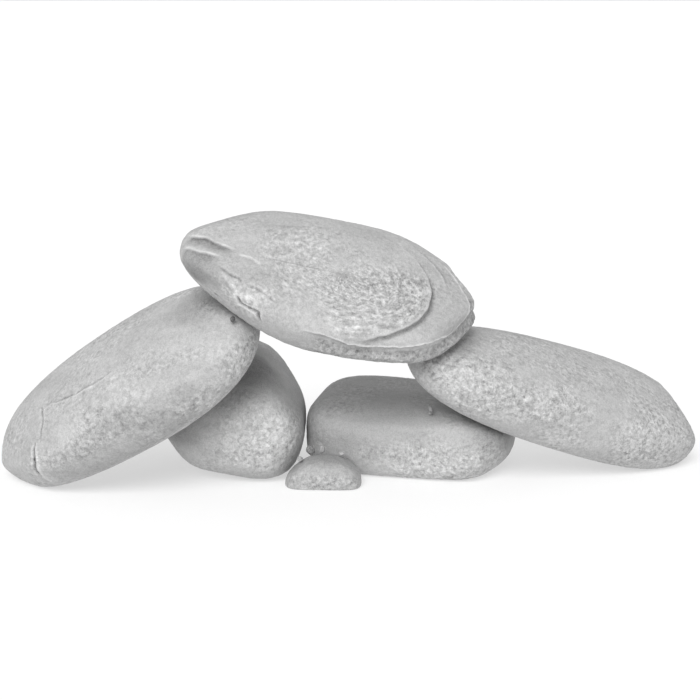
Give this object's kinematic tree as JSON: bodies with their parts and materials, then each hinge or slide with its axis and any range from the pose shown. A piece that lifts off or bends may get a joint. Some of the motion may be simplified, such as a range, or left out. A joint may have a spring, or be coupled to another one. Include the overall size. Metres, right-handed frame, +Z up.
{
  "type": "basalt massage stone",
  "caption": "Loose pale grey water-worn massage stones stacked as a low open arch, each stone lifting or sliding away from the pile.",
  "frame": {"origin": "middle of the arch's footprint box, on the surface it stands on", "axes": "+X along the arch to the viewer's right, +Y away from the viewer, +Z up"},
  "size_m": [0.2384, 0.088, 0.0915],
  "materials": {
    "pale_basalt": "matt, water-worn, fine grained with a faint sparkle",
    "basalt_grit": "rough, broken"
  },
  "bodies": {
    "right_base": {"right_base_stone": "pale_basalt", "right_joint_chip": "basalt_grit"},
    "left_base": {"left_base_stone": "pale_basalt"},
    "left_leaning": {"left_leaning_stone": "pale_basalt", "top_joint_chip": "basalt_grit"},
    "right_leaning": {"right_leaning_stone": "pale_basalt"},
    "top": {"top_stone": "pale_basalt"},
    "front": {"front_stone": "pale_basalt", "joint_pellet": "basalt_grit", "joint_pip": "basalt_grit", "left_crumb": "basalt_grit", "right_crumb": "basalt_grit"}
  },
  "joints": [
    {"name": "top_lift", "type": "slide", "parent": "right_base", "child": "top", "axis": [0, 0, 1], "range_m": [0, 0.06]},
    {"name": "right_leaning_away", "type": "slide", "parent": "right_base", "child": "right_leaning", "axis": [1, 0, 0], "range_m": [0, 0.06]},
    {"name": "left_base_away", "type": "slide", "parent": "right_base", "child": "left_base", "axis": [-1, 0, 0], "range_m": [0, 0.06]},
    {"name": "left_leaning_away", "type": "slide", "parent": "left_base", "child": "left_leaning", "axis": [-1, 0, 0], "range_m": [0, 0.06]},
    {"name": "front_away", "type": "slide", "parent": "right_base", "child": "front", "axis": [0, -1, 0], "range_m": [0, 0.04]}
  ]
}
